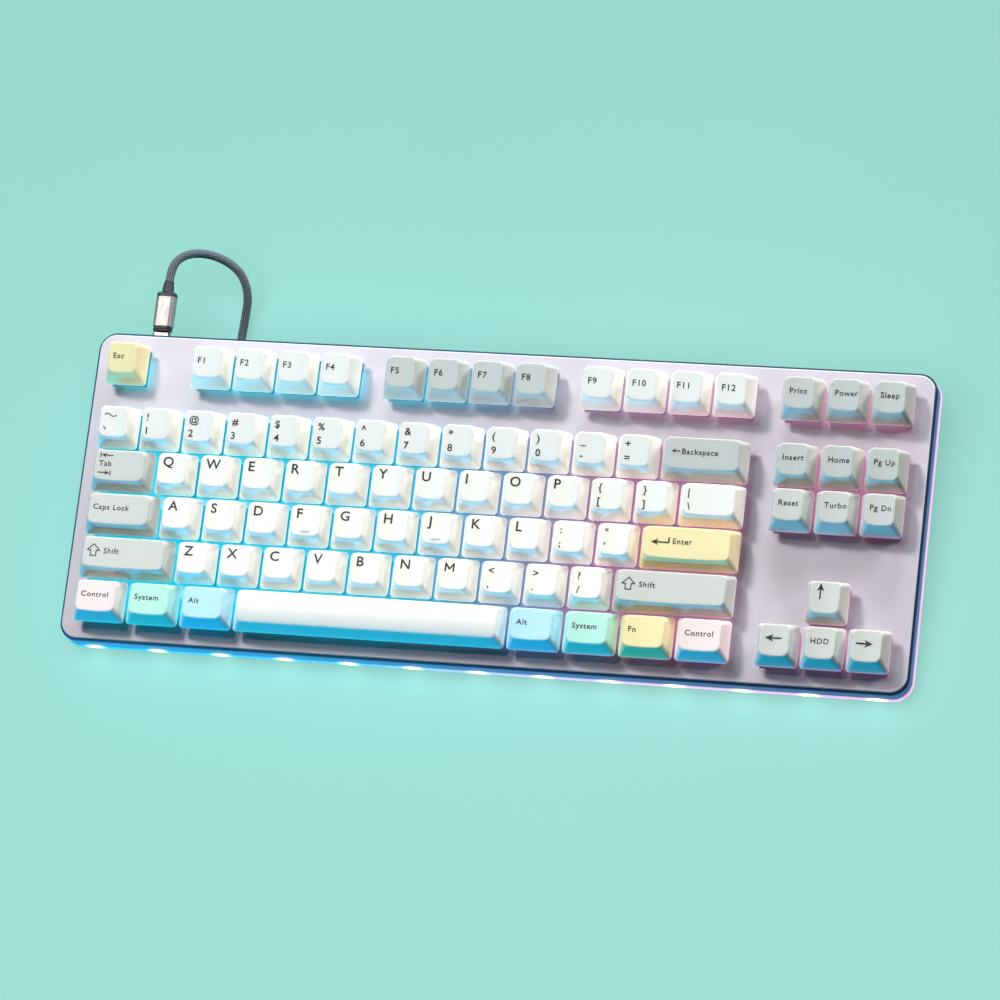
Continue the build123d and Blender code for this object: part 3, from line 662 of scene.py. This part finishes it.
# ---- materials ----
class Finish:
    """A material in the making: its node tree, its principled shader and short ways to add."""

    def __init__(self, name):
        self.material = bpy.data.materials.new(name)
        self.material.use_nodes = True
        self.tree = self.material.node_tree
        self.shader = self.tree.nodes["Principled BSDF"]
        self.place = self.tree.nodes.new("ShaderNodeTexCoord")

    def node(self, kind, **values):
        made = self.tree.nodes.new(kind)
        for name, value in values.items():
            if hasattr(made, name):
                setattr(made, name, value)
            else:
                made.inputs[name.replace("_", " ").title()].default_value = value
        return made

    def link(self, source, target):
        self.tree.links.new(source, target)

    def set(self, **values):
        """Sets the shader's sockets, each to a constant or an output."""
        for name, value in values.items():
            socket = self.shader.inputs[name.replace("_", " ")]
            if isinstance(value, bpy.types.NodeSocket):
                self.link(value, socket)
            else:
                socket.default_value = value

    def noise(self, scale, detail):
        made = self.node("ShaderNodeTexNoise", scale=scale, detail=detail)
        self.link(self.place.outputs["Object"], made.inputs["Vector"])
        return made.outputs["Fac"]

    def blend(self, share, a, b):
        """A colour mix of a and b, each a colour or an output."""
        made = self.node("ShaderNodeMix", data_type="RGBA")
        self.link(share, made.inputs["Factor"])
        for value, socket in ((a, made.inputs[6]), (b, made.inputs[7])):
            if isinstance(value, tuple):
                socket.default_value = (*value, 1.0)
            else:
                self.link(value, socket)
        return made.outputs[2]

    def math(self, operation, a, b=0.0):
        made = self.node("ShaderNodeMath", operation=operation)
        for value, socket in ((a, made.inputs[0]), (b, made.inputs[1])):
            if isinstance(value, (int, float)):
                socket.default_value = value
            else:
                self.link(value, socket)
        return made.outputs[0]

    def range(self, value, low, high, to_low=0.0, to_high=1.0):
        made = self.node("ShaderNodeMapRange")
        self.link(value, made.inputs["Value"])
        for name, number in zip(("From Min", "From Max", "To Min", "To Max"),
                                (low, high, to_low, to_high)):
            made.inputs[name].default_value = number
        return made.outputs["Result"]

    def ramp(self, value, stops):
        made = self.node("ShaderNodeValToRGB")
        line = made.color_ramp
        line.elements[0].color = (*stops[0][1], 1.0)
        line.elements[1].color = (*stops[-1][1], 1.0)
        for position, colour in stops[1:-1]:
            line.elements.new(position).color = (*colour, 1.0)
        self.link(value, made.inputs["Fac"])
        return made.outputs["Color"]

    def dot(self, source, axis):
        """How far a vector output goes along a fixed axis."""
        made = self.node("ShaderNodeVectorMath", operation="DOT_PRODUCT")
        self.link(source, made.inputs[0])
        made.inputs[1].default_value = axis
        return made.outputs["Value"]

    def bump(self, height, distance, strength):
        made = self.node("ShaderNodeBump", distance=distance, strength=strength)
        self.link(height, made.inputs["Height"])
        self.set(Normal=made.outputs["Normal"])

    def axis(self, name, source="Object"):
        made = self.node("ShaderNodeSeparateXYZ")
        self.link(self.place.outputs[source], made.inputs["Vector"])
        return made.outputs[name]


def srgb(red, green, blue):
    """A linear colour from screen values of 0 to 255."""
    def linear(value):
        value /= 255
        return value / 12.92 if value <= 0.04045 else ((value + 0.055) / 1.055) ** 2.4
    return linear(red), linear(green), linear(blue)


def shade(colour, factor):
    return tuple(min(1.0, part * factor) for part in colour)


def cap_finish(name, colour):
    """Dye-sublimated PBT: a fine matt grain, and the light under it painted on as the mesh's own
    glow.
    """
    made = Finish(name)
    glow = made.node("ShaderNodeAttribute", attribute_name="glow")
    made.set(Base_Color=made.blend(made.noise(60, 3), shade(colour, 0.97), shade(colour, 1.02)),
             Roughness=made.range(made.noise(900, 2), 0.3, 0.7, 0.42, 0.56),
             Specular_IOR_Level=0.35, Emission_Color=glow.outputs["Color"], Emission_Strength=1.0)
    made.bump(made.noise(3800, 3), 0.00003, 0.35)
    return made.material


def plain_finish(name, dark, light, roughness, metallic=0.0):
    """A moulded or machined surface with a little variation in tone and a fine grain."""
    made = Finish(name)
    made.set(Base_Color=made.blend(made.noise(180, 4), dark, light), Metallic=metallic,
             Roughness=made.range(made.noise(500, 3), 0.3, 0.7, *roughness))
    made.bump(made.noise(1500, 3), 0.00002, 0.4)
    return made.material


def plate_light(made):
    """How much of the LEDs' light is painted on the plate as glow: strong under each field of keys,
    with a soft edge."""
    x, y = made.axis("X"), made.dot(made.place.outputs["Object"], PLATE_BACK)
    total = 0.0
    middle_of_plate = PLATE.translation.dot(PLATE_BACK)
    for left, right, first, last in LIT_FIELDS:
        middle_x = (left + right) / 2 * UNIT - FIELD_W / 2
        middle_y = (ROW_Y[first] + ROW_Y[last]) / 2 + (GLOW_BACK if first else -GLOW_FRONT)
        middle_x += GLOW_RIGHT if first == 0 and right <= LEANING_RIGHT else 0.0
        half_x, half_y = (right - left) * UNIT / 2, (ROW_Y[first] - ROW_Y[last] + UNIT) / 2
        shares = []
        for value, middle, reach in ((x, middle_x * MM, half_x),
                                     (y, middle_y * MM + middle_of_plate, half_y)):
            away = made.math("ABSOLUTE", made.math("SUBTRACT", value, middle))
            near, far = (reach - GLOW_IN) * MM, (reach + GLOW_OUT) * MM
            shares.append(made.range(away, near, far, 1.0, 0.0))
        total = made.math("MAXIMUM", made.math("MULTIPLY", *shares), total)
    return made.math("POWER", total, 2.0)


def frame_finish():
    """Bead-blasted anodised aluminium: a lavender plate, a bright cut edge round it, a dark chamfer
    and walls that turn from slate at the top to navy at the foot in a painted reflection, with the
    ring's light painted on them and the LEDs' light painted on the plate as glow."""
    made = Finish("anodised_frame")
    normal = made.node("ShaderNodeNewGeometry").outputs["True Normal"]
    facing = made.dot(normal, PLATE_UP)
    height = made.dot(made.place.outputs["Object"], PLATE_UP)
    plate_height = PLATE.translation.dot(PLATE_UP)
    depth = made.range(height, plate_height - FRAME_DEPTH * MM, plate_height)
    plate = made.blend(made.noise(2600, 2), srgb(190, 187, 199), srgb(202, 198, 211))
    # the walls' own dark tone with a painted reflection: blue low down, a slate band higher up
    walls = made.ramp(depth, WALL_TONE_AND_REFLECTION)
    is_plate = made.math("GREATER_THAN", facing, FLAT)
    is_cut = made.math("GREATER_THAN", depth, 1.0 - BRIGHT_EDGE / FRAME_DEPTH)
    sides = made.blend(is_cut, walls, srgb(232, 234, 244))
    made.set(Base_Color=made.blend(is_plate, sides, plate), Specular_IOR_Level=0.3,
             Roughness=made.range(is_plate, 0, 1, 0.42, 0.55),
             Metallic=made.range(is_plate, 0, 1, 0.2, 0.12))
    made.bump(made.noise(5200, 2), 0.00002, 0.25)
    share = made.range(made.axis("X"), -FIELD_W / 2 * MM, FIELD_W / 2 * MM)
    on_plate, on_walls = made.ramp(share, PLATE_GLOW_STOPS), made.ramp(share, WALL_GLOW_STOPS)
    # the LEDs' light painted on the plate as glow
    lit = made.math("MULTIPLY", plate_light(made), is_plate)
    # the ring's light painted on the walls as glow, at least FRONT_GLOW on the front wall
    front = made.math("MAXIMUM", made.dot(normal, -PLATE_BACK), 0.0)
    least = made.math("MULTIPLY", front, made.range(depth, *FRONT_GLOW_FADE, 0.0, FRONT_GLOW))
    on_side = made.math("MAXIMUM", made.ramp(depth, WALL_GLOW_HEIGHTS), least)
    ring_light = made.math("MULTIPLY", on_side, made.math("SUBTRACT", 1.0, is_plate))
    made.set(Emission_Color=made.blend(is_plate, on_walls, on_plate),
             Emission_Strength=made.math("MAXIMUM", lit, ring_light))
    return made.material


def lit_finish(name, stops, strength, base, hot_spots=False):
    """Plastic that glows from the LEDs inside, with a colour that changes along the keyboard."""
    made = Finish(name)
    x = made.axis("X")
    share = made.range(x, -FIELD_W / 2 * MM, FIELD_W / 2 * MM)
    tint = made.ramp(share, stops)
    made.set(Base_Color=(*base, 1.0), Roughness=0.45)
    if hot_spots:
        wave = made.math("COSINE", made.math("MULTIPLY", x, 2 * pi / (HOT_SPOT_PITCH * MM)))
        peak = made.math("POWER", made.math("MAXIMUM", wave, 0.0), 3.0)
        tint = made.blend(peak, tint, (0.9, 0.97, 1.0))
        light = made.range(peak, 0, 1, strength * 0.55, strength * 1.7)
    else:
        light = made.range(made.noise(120, 2), 0.3, 0.7, strength * 0.85, strength * 1.15)
    made.set(Emission_Color=tint, Emission_Strength=light)
    made.bump(made.noise(900, 2), 0.00002, 0.3)
    return made.material


def braid_finish():
    """A fine two-tone braid: crossing strands from the tube's own u, round it, and v, along it."""
    made = Finish("braid")
    u, v = made.axis("X", "UV"), made.axis("Y", "UV")
    strands, pitch = 12, 2.4 * MM
    turns = made.math("MULTIPLY", u, strands * 2 * pi)
    along = made.math("MULTIPLY", v, 2 * pi / pitch)
    one = made.math("SINE", made.math("ADD", turns, along))
    other = made.math("SINE", made.math("SUBTRACT", turns, along))
    weave = made.math("MAXIMUM", one, other)
    over = made.math("GREATER_THAN", one, other)
    strand = made.blend(over, srgb(86, 104, 122), srgb(120, 136, 150))
    dark = made.range(weave, 0.0, 0.9)
    made.set(Base_Color=made.blend(dark, srgb(34, 44, 56), strand), Roughness=0.62,
             Sheen_Weight=0.3)
    made.bump(weave, 0.00025, 0.8)
    return made.material


def strap_finish():
    made = Finish("strap")
    loops = made.noise(2600, 4)
    made.set(Base_Color=made.blend(loops, srgb(14, 14, 16), srgb(52, 52, 58)), Roughness=0.95,
             Sheen_Weight=0.4)
    made.bump(loops, 0.0002, 0.7)
    return made.material


def floor_finish():
    made = Finish("paper_floor")
    made.set(Base_Color=made.blend(made.noise(3, 2), srgb(156, 222, 210), srgb(162, 226, 215)),
             Roughness=0.9, Specular_IOR_Level=0.1)
    return made.material


CAP_COLOURS = {
    "cap_white": srgb(251, 247, 239), "cap_grey": srgb(211, 212, 206),
    "cap_yellow": srgb(250, 234, 178), "cap_pink": srgb(252, 232, 230),
    "cap_mint": srgb(188, 242, 226), "cap_blue": srgb(190, 236, 252),
}
CAPS = {name: cap_finish(name, colour) for name, colour in CAP_COLOURS.items()}
INK = plain_finish("legend_ink", srgb(20, 21, 26), srgb(34, 35, 42), (0.5, 0.6))
STEM = plain_finish("switch_stem", srgb(206, 214, 222), srgb(226, 232, 238), (0.3, 0.4))
STEEL = ((0.55, 0.55, 0.57), (0.66, 0.66, 0.68))
RUBBER = srgb(20, 20, 22), srgb(34, 34, 37), (0.75, 0.9)
NODE_FINISH = {
    "top_frame": frame_finish(),
    "light_diffuser": lit_finish("diffuser", RING_STOPS, 1.45, (0.26, 0.28, 0.32), hot_spots=True),
    "bottom_cover": plain_finish("cover_dark", srgb(22, 26, 36), srgb(34, 40, 54), (0.35, 0.5),
                                 0.8),
    "case_screws": plain_finish("screw_steel", *STEEL, (0.25, 0.4), 1.0),
    "circuit_board": plain_finish("board", srgb(16, 60, 44), srgb(22, 76, 56), (0.3, 0.45)),
    "controller_chip": plain_finish("chip", srgb(18, 18, 20), srgb(30, 30, 33), (0.4, 0.6)),
    "usb_port": plain_finish("port_steel", *STEEL, (0.2, 0.35), 1.0),
    "key_leds": lit_finish("led", LED_STOPS, 3.0, (0.9, 0.9, 0.85)),
    # The switch housings glow with the LEDs' light painted on them.
    "switch_lower_housings": lit_finish("housing_black", LED_STOPS, 0.5, srgb(32, 33, 37)),
    "switch_upper_housings": lit_finish("housing_clear", LED_STOPS, 0.3, (0.75, 0.78, 0.8)),
    "switch_springs": plain_finish("spring_steel", *STEEL, (0.2, 0.3), 1.0),
    "stabiliser_housings": plain_finish("stabiliser_black", srgb(26, 27, 30), srgb(38, 39, 43),
                                        (0.35, 0.5)),
    "usb_plug_tip": plain_finish("plug_steel", *STEEL, (0.18, 0.3), 1.0),
    "front_feet": plain_finish("foot_rubber", *RUBBER),
    "rear_feet": plain_finish("foot_rubber_rear", *RUBBER),
    "far_plug_tip": plain_finish("far_plug_steel", *STEEL, (0.18, 0.3), 1.0),
}


# ---- making the keys ----
def make_keys():
    group_of = {name: node for node, names in KEY_GROUPS.items() for name in names.split()}
    nodes = {}
    for key in key_list():
        nodes.setdefault(group_of.get(key.name, "key_" + key.name), []).append(key)
    for node, keys in nodes.items():
        caps, legend = Solid(), Solid()
        used = sorted({key.colour for key in keys})
        for key in keys:
            one = Solid()
            kind = used.index(key.colour)
            ceiling = cap_walls(one, key, kind)
            cap_inside(one, key, ceiling, kind, len(used))
            if key.name in ("f", "j"):
                homing_bar(one, key, kind)
            add_moved(caps, one, key.x, key.y)
            add_legend(legend, key)
        short = node.split("_", 1)[1]
        thing = finish_mesh("caps_" + short, caps, [CAPS[name] for name in used] + [STEM])
        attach(thing, node + "_body")
        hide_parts(node)
        if legend.points:
            ink = finish_mesh("legend_" + short, legend, [INK])
            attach(ink, node + "_body")


# ---- cord ----
# Points of the row frame, in millimetres.
CABLE_D = 3.8
COIL_XY = (-101.3, 38.0)
LOOP_POINTS = [
    (-156.7, 92.49, 30.93), (-156.7, 99.1, 31.62), (-153.9, 105.0, 30.3), (-148.2, 108.8, 27.2),
    (-138.8, 109.3, 22.4), (-129.6, 104.8, 17.6), (-126.4, 96.6, 11.8), (-127.7, 88.0, 7.2),
    (-129.0, 79.6, 3.8), (-129.8, 71.4, 2.1), (-130.0, 62.5, 1.9), (-129.8, 51.5, 1.9),
    (-129.3, 40.0, 1.9),
]
TAIL_POINTS = [
    (-87.3, 13.75, 5.8), (-78.0, 19.0, 5.5), (-68.5, 25.8, 4.4), (-57.5, 30.5, 3.8),
    (-46.0, 30.5, 3.8),
]
TURN_POINTS = 16


def coil_points():
    """Three turns winding in on the floor, one that climbs inside them, and three and a third
    turns winding out on top."""
    bottom, top = CABLE_D / 2, CABLE_D / 2 + 3.9
    outer, inner, inner_top = 28.0, 16.0, 14.67
    tuck = 2.4  # how far the climbing turn keeps inside the others
    turns_in, turns_out = 3.0, 10 / 3
    total = turns_in + 1 + turns_out
    points = []
    for i in range(1, round(total * TURN_POINTS)):
        turn = i / TURN_POINTS
        if turn <= turns_in:
            radius = outer + (inner - outer) * turn / turns_in
            z = bottom
        elif turn <= turns_in + 1:
            share = turn - turns_in
            radius = inner + (inner_top - inner) * share - tuck * sin(pi * share) ** 0.6
            z = bottom + (top - bottom) * share
        else:
            share = (turn - turns_in - 1) / turns_out
            radius = inner_top + (outer - inner_top) * share
            z = top
        angle = pi + 2 * pi * turn
        points.append((COIL_XY[0] + radius * cos(angle), COIL_XY[1] + radius * sin(angle), z))
    return points


def centreline(points):
    """The points of a smooth NURBS line whose control points these are, in metres."""
    curve = bpy.data.curves.new("cable_line", "CURVE")
    curve.dimensions = "3D"
    spline = curve.splines.new("NURBS")
    spline.points.add(len(points) - 1)
    for point, at in zip(spline.points, points):
        point.co = (*(Vector(at) * MM), 1.0)
    spline.order_u = 3
    spline.use_endpoint_u = True
    spline.resolution_u = 4
    return curve_shape(curve)[0]


def frames_along(line):
    """At each point of the line: the point, its direction and two steady cross directions."""
    side = None
    made = []
    for i, at in enumerate(line):
        along = (line[min(i + 1, len(line) - 1)] - line[max(i - 1, 0)]).normalized()
        if side is None:
            side = along.cross(Vector((0, 0, 1))).normalized()
        side = (side - along * side.dot(along)).normalized()
        made.append((at, along, side, along.cross(side)))
    return made


def tube_mesh(name, line, radius, material):
    """A closed tube along the line, with u round it and v the length along it, in metres."""
    solid = Solid()
    sides = 16
    rings = []
    for at, along, side, other in frames_along(line):
        angles = [2 * pi * i / sides for i in range(sides)]
        rings.append([at + (side * cos(a) + other * sin(a)) * radius for a in angles])
    solid.loft(rings)
    thing = finish_mesh(name, solid, [material], Matrix.Identity(4), sharp=60)
    mesh = thing.data
    layer = mesh.uv_layers.new(name="UVMap")
    distance = [0.0]
    for a, b in zip(line, line[1:]):
        distance.append(distance[-1] + (b - a).length)
    quads = (len(line) - 1) * sides
    for face in mesh.polygons[:quads]:
        level, step = divmod(face.index, sides)
        corners = ((step, level), (step + 1, level), (step + 1, level + 1), (step, level + 1))
        for loop, (u, v) in zip(face.loop_indices, corners):
            layer.data[loop].uv = (u / sides, distance[v])
    return thing, distance[-1]


PORT_X, PORT_Z = -156.7, -3.4
SLEEVE_W, SLEEVE_T = 8.8, 5.6
COLLAR_Y, SLEEVE_Y, ENDCAP_Y, RELIEF_Y, RELIEF_END = 70.5, 72.5, 86.3, 88.2, 93.1
RELIEF_R = (2.75, 2.25)  # at its two ends


def bar_along_y(solid, sections, kind):
    """A rounded bar on the plug's line. Each section is its y, how much smaller than the sleeve
    it is, and its corner radius."""
    rings = []
    for y, cut, radius in sections:
        ring, _ = outline((SLEEVE_W - cut) / 2, (SLEEVE_T - cut) / 2, radius, 0, (2, 2))
        rings.append([(PORT_X + p.x, y, PORT_Z + p.y) for p in reversed(ring)])
    solid.loft(rings, kind)


def make_plug():
    """The plug's grey sleeve between a ribbed dark collar and a dark end cap, and its ribbed
    strain relief."""
    grey = plain_finish("plug_sleeve", srgb(150, 148, 150), srgb(168, 165, 167), (0.35, 0.5), 0.6)
    dark = plain_finish("boot", srgb(38, 42, 50), srgb(54, 58, 67), (0.5, 0.7))
    solid = Solid()
    rib, dent = 0.8, 1.5
    collar = [(COLLAR_Y, 1.4, 1.5)]
    for i in range(2):
        y = COLLAR_Y + 0.25 + i * 0.9
        collar += [(y, rib, 1.6), (y + 0.5, rib, 1.6), (y + 0.6, dent, 1.5), (y + 0.8, dent, 1.5)]
    bar_along_y(solid, collar, 1)
    sleeve = [(SLEEVE_Y, 0.7, 1.9), (SLEEVE_Y + 0.35, 0, 2.0), (ENDCAP_Y - 0.35, 0, 2.0),
              (ENDCAP_Y, 0.5, 1.9)]
    bar_along_y(solid, sleeve, 0)
    end_cap = [(ENDCAP_Y, 0.2, 1.9), (RELIEF_Y - 0.5, 0.2, 1.9), (RELIEF_Y, 1.2, 1.7)]
    bar_along_y(solid, end_cap, 1)
    plug = finish_mesh("plug_sleeve", solid, [grey, dark])
    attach(plug, "case")
    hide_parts("usb_plug_sleeve")
    relief = Solid()
    rings = []
    steps, sides, groove = 10, 24, 0.16
    for i in range(steps + 1):
        share = i / steps
        radius = RELIEF_R[0] + (RELIEF_R[1] - RELIEF_R[0]) * share - (groove if i % 2 else 0.0)
        y = RELIEF_Y + (RELIEF_END - RELIEF_Y) * share
        rings.append([(PORT_X + radius * cos(a), y, PORT_Z - radius * sin(a))
                      for a in (2 * pi * k / sides for k in range(sides))])
    relief.loft(rings)
    boot = finish_mesh("relief_boot", relief, [dark], sharp=50)
    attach(boot, "case")
    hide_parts("strain_relief")
    return plug, boot, dark


FAR_PLUG = (-40.0, 30.5, 3.8)
FAR_BODY = (24.0, 15.0, 7.6)


def make_far_plug(dark):
    """The plug on the coil's end: a rounded body with a waist to grip, and its collar."""
    solid = Solid()
    x, y, z = FAR_PLUG
    length, width, height = FAR_BODY
    # Each as its distance from the body's end, width, height and corner radius.
    sections = ((-6.0, 4.4, 4.4, 2.15), (-3.0, 5.0, 5.0, 2.4), (-0.2, 5.6, 5.6, 2.6),
                (0.0, width - 3.0, height - 1.6, 2.2), (1.2, width - 0.8, height - 0.2, 2.4),
                (2.4, width, height, 2.4), (8.0, width - 0.6, height - 0.4, 2.2),
                (13.0, width - 1.4, height - 0.8, 2.2), (18.0, width - 0.4, height, 2.2),
                (length - 0.8, width, height, 2.2), (length, width - 1.2, height - 1.0, 2.0))
    rings = []
    for dx, w, t, radius in sections:
        ring, _ = outline(w / 2, t / 2, radius, 0, (2, 2))
        rings.append([(x + dx, y + p.x, z + p.y) for p in ring])
    solid.loft(rings)
    thing = finish_mesh("far_plug_body", solid, [dark], Matrix.Scale(MM, 4), sharp=40)
    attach(thing, "case")
    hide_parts("far_plug")
    return thing


def make_tie():
    """A hook-and-loop strap round the coil's turns."""
    inside, outside, top, half, thick, corner = 11.1, 30.0, 8.0, 5.0, 0.6, 0.5
    corners = ((inside, 0.0, -1, -1), (outside, 0.0, 1, -1), (outside, top, 1, 1),
               (inside, top, -1, 1))
    x0, y0 = COIL_XY
    solid = Solid()
    made = []
    for grow in (0.0, thick):
        ring = []
        for k, (x, z, sx, sz) in enumerate(corners):
            mid = Vector((x - sx * corner, z + thick - sz * corner))
            turns = [radians(180 + 90 * k + 90 * i / 4) for i in range(5)]
            ring += [mid + (corner + grow) * direction(turn) for turn in turns]
        for y in (-half, half):
            made.append(solid.ring([(x0 + p.x, y0 + y, max(0.0, p.y)) for p in ring]))
    solid.bridge(made[0], made[2])
    solid.bridge(made[2], made[3])
    solid.bridge(made[3], made[1])
    solid.bridge(made[1], made[0])
    thing = finish_mesh("tie_strap", solid, [strap_finish()], Matrix.Scale(MM, 4), sharp=50)
    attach(thing, "case")
    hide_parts("cable_tie")
    return thing


def make_cord():
    plug, boot, dark = make_plug()
    far = make_far_plug(dark)
    tie = make_tie()
    line = centreline(LOOP_POINTS + coil_points() + TAIL_POINTS)
    cable, length = tube_mesh("braided_cable", line, CABLE_D / 2 * MM, braid_finish())
    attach(cable, "case")
    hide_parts("usb_cable", "cable_coil")


# ---- stage ----
def make_camera():
    aim = Vector((4.55, 1.46, 30.0)) * MM
    azimuth, elevation, roll = radians(36.57), radians(65.62), radians(-30.69)
    distance, lens = 1.9321, 165.92
    back = Vector((sin(azimuth) * cos(elevation), -cos(azimuth) * cos(elevation), sin(elevation)))
    camera = bpy.data.objects.new("camera", bpy.data.cameras.new("camera"))
    camera.data.lens = lens
    camera.location = aim + back * distance
    camera.rotation_mode = "QUATERNION"
    level = (-back).to_track_quat("-Z", "Y")
    camera.rotation_quaternion = level @ Quaternion((0, 0, 1), roll)
    bpy.context.scene.collection.objects.link(camera)
    bpy.context.scene.camera = camera


def area_light(name, at, size, power, colour, only, stopped_by=None):
    """A soft square light that looks at the object, shines on only those things and is stopped by
    everything, or by only these."""
    lamp = bpy.data.lights.new(name, "AREA")
    lamp.shape = "SQUARE"
    lamp.size = size
    lamp.energy = power
    lamp.color = colour
    thing = bpy.data.objects.new(name, lamp)
    thing.location = at
    thing.rotation_mode = "QUATERNION"
    thing.rotation_quaternion = (-Vector(at)).to_track_quat("-Z", "Y")
    bpy.context.scene.collection.objects.link(thing)
    thing.light_linking.receiver_collection = only
    if stopped_by:
        thing.light_linking.blocker_collection = stopped_by


def collection(name, things):
    made = bpy.data.collections.new(name)
    for thing in things:
        made.objects.link(thing)
    return made


def make_stage():
    """The floor and the lights. The lights from above and behind shine on the keyboard, the blue
    one from the front leaves the plate out, and the overhead ones light only the floor, where the
    stronger one casts no shadow of the keyboard."""
    solid = Solid()
    half = 6000.0
    solid.face(solid.ring([(-half, -half, 0), (half, -half, 0), (half, half, 0), (-half, half, 0)]))
    floor = finish_mesh("floor", solid, [floor_finish()], Matrix.Scale(MM, 4))
    floor.visible_diffuse = False
    floor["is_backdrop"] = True
    pieces, top_frame = list(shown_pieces()), frame["nodes"]["top_frame"]
    keyboard = collection("keyboard", pieces)
    above = collection("above_the_plate", [thing for thing in pieces if thing != top_frame])
    plate = collection("plate", [top_frame])
    ground = collection("ground", [floor])
    area_light("key", (-0.80, 0.76, 1.62), 0.35, 27.5, (1.0, 0.95, 0.90), keyboard)
    area_light("rear_right", (1.3, 1.3, 0.8), 0.7, 27.5, (1.0, 0.96, 0.97), keyboard)
    area_light("rear", (0.0, 1.9, 0.8), 0.7, 36.0, (0.86, 1.0, 0.98), keyboard)
    area_light("blue", (-0.7, -1.6, 0.14), 0.6, 32.0, (0.0, 0.574, 1.0), above)
    area_light("plate_top", (-0.4, 0.35, 2.1), 0.3, 5.5, (1.0, 0.99, 1.0), plate)
    area_light("overhead", (0.0, -0.5, 2.6), 3.0, 84.0, (1.0, 1.0, 1.0), ground, ground)
    area_light("overhead_soft", (0.0, -0.5, 2.6), 3.0, 14.0, (1.0, 1.0, 1.0), ground)
    world = bpy.data.worlds.new("dim")
    world.use_nodes = True
    sky = world.node_tree.nodes["Background"]
    sky.inputs["Color"].default_value = (0.7, 0.85, 0.9, 1.0)
    sky.inputs["Strength"].default_value = 0.01
    bpy.context.scene.world = world
    bpy.context.scene.view_settings.view_transform = "Standard"


for name, finish in NODE_FINISH.items():
    mesh = frame["nodes"][name].data
    mesh.materials.clear()
    mesh.materials.append(finish)
make_camera()
make_cord()
make_keys()
make_stage()
